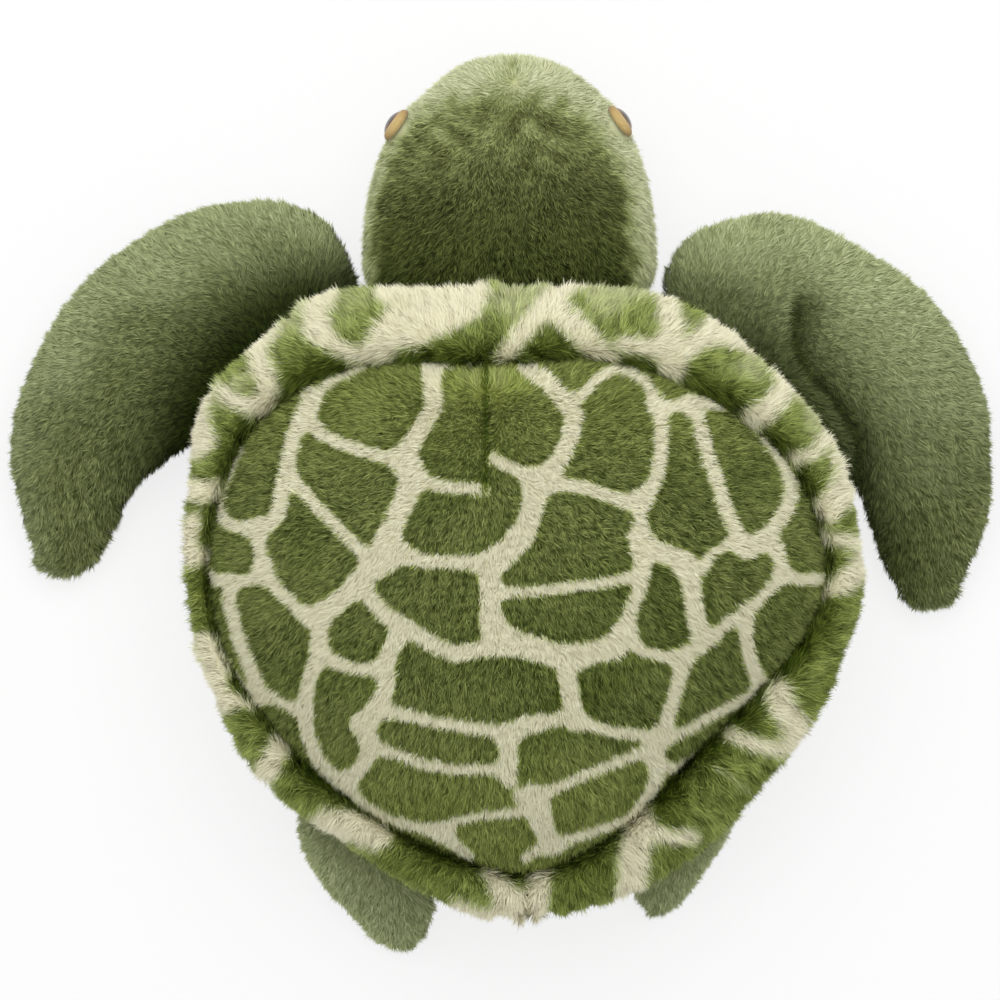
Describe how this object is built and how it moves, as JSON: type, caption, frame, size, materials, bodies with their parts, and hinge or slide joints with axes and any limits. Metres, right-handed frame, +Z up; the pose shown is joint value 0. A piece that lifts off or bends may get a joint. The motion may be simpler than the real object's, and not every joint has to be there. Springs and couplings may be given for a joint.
{
  "type": "plush sea turtle",
  "caption": "Large stuffed sea turtle with a domed shell in a padded roll, plastic eyes with lids, and a head and flippers that flex at their sewn seams.",
  "frame": {"origin": "centre of the bounding box's bottom face, on the surface that the toy lies on", "axes": "+Y toward the head, +X to the turtle's right across both front flippers, +Z up"},
  "size_m": [0.4905, 0.4445, 0.15],
  "materials": {
    "sage_plush": "matte pile, clipped",
    "crown_plush": "matte pile, clipped",
    "shell_plush": "matte pile, clipped, with pale lines",
    "rim_plush": "matte long pile",
    "belly_plush": "matte pile, clipped",
    "polyester_filling": "loose fibre",
    "eye_plastic": "polished",
    "washer_plastic": "satin",
    "lid_suede": "brushed"
  },
  "bodies": {
    "torso": {"body_cover": "belly_plush", "body_filling": "polyester_filling", "shell_dome_cover": "shell_plush", "shell_dome_filling": "polyester_filling", "shell_rim_cover_left": "rim_plush", "shell_rim_filling_left": "polyester_filling", "shell_rim_cover_right": "rim_plush", "shell_rim_filling_right": "polyester_filling"},
    "head": {"head_cover": "crown_plush", "head_filling": "polyester_filling", "eye_left": "eye_plastic", "eye_washer_left": "washer_plastic", "eyelid_left": "lid_suede", "eye_right": "eye_plastic", "eye_washer_right": "washer_plastic", "eyelid_right": "lid_suede"},
    "front_flipper_left": {"front_flipper_cover_left": "sage_plush", "front_flipper_filling_left": "polyester_filling"},
    "front_flipper_right": {"front_flipper_cover_right": "sage_plush", "front_flipper_filling_right": "polyester_filling"},
    "rear_flipper_left": {"rear_flipper_cover_left": "sage_plush", "rear_flipper_filling_left": "polyester_filling"},
    "rear_flipper_right": {"rear_flipper_cover_right": "sage_plush", "rear_flipper_filling_right": "polyester_filling"}
  },
  "joints": [
    {"name": "head_nod", "type": "hinge", "parent": "torso", "child": "head", "pos_m": [0.0055, 0.11765, 0.05], "axis": [1, 0, 0], "range_deg": [-7, 15], "stiffness_Nm_per_rad": 1.5},
    {"name": "front_flipper_left_flap", "type": "hinge", "parent": "torso", "child": "front_flipper_left", "pos_m": [-0.10343, 0.03939, 0.028], "axis": [0.7447, 0.6674, 0], "range_deg": [-3, 25], "stiffness_Nm_per_rad": 0.6},
    {"name": "front_flipper_right_flap", "type": "hinge", "parent": "torso", "child": "front_flipper_right", "pos_m": [0.11012, 0.0431, 0.028], "axis": [0.6441, -0.7649, 0], "range_deg": [-3, 25], "stiffness_Nm_per_rad": 0.6},
    {"name": "rear_flipper_left_flap", "type": "hinge", "parent": "torso", "child": "rear_flipper_left", "pos_m": [-0.0608, -0.14843, 0.028], "axis": [-0.7955, 0.606, 0], "range_deg": [-3, 25], "stiffness_Nm_per_rad": 0.3},
    {"name": "rear_flipper_right_flap", "type": "hinge", "parent": "torso", "child": "rear_flipper_right", "pos_m": [0.08644, -0.13682, 0.028], "axis": [-0.6648, -0.747, 0], "range_deg": [-3, 25], "stiffness_Nm_per_rad": 0.3}
  ]
}
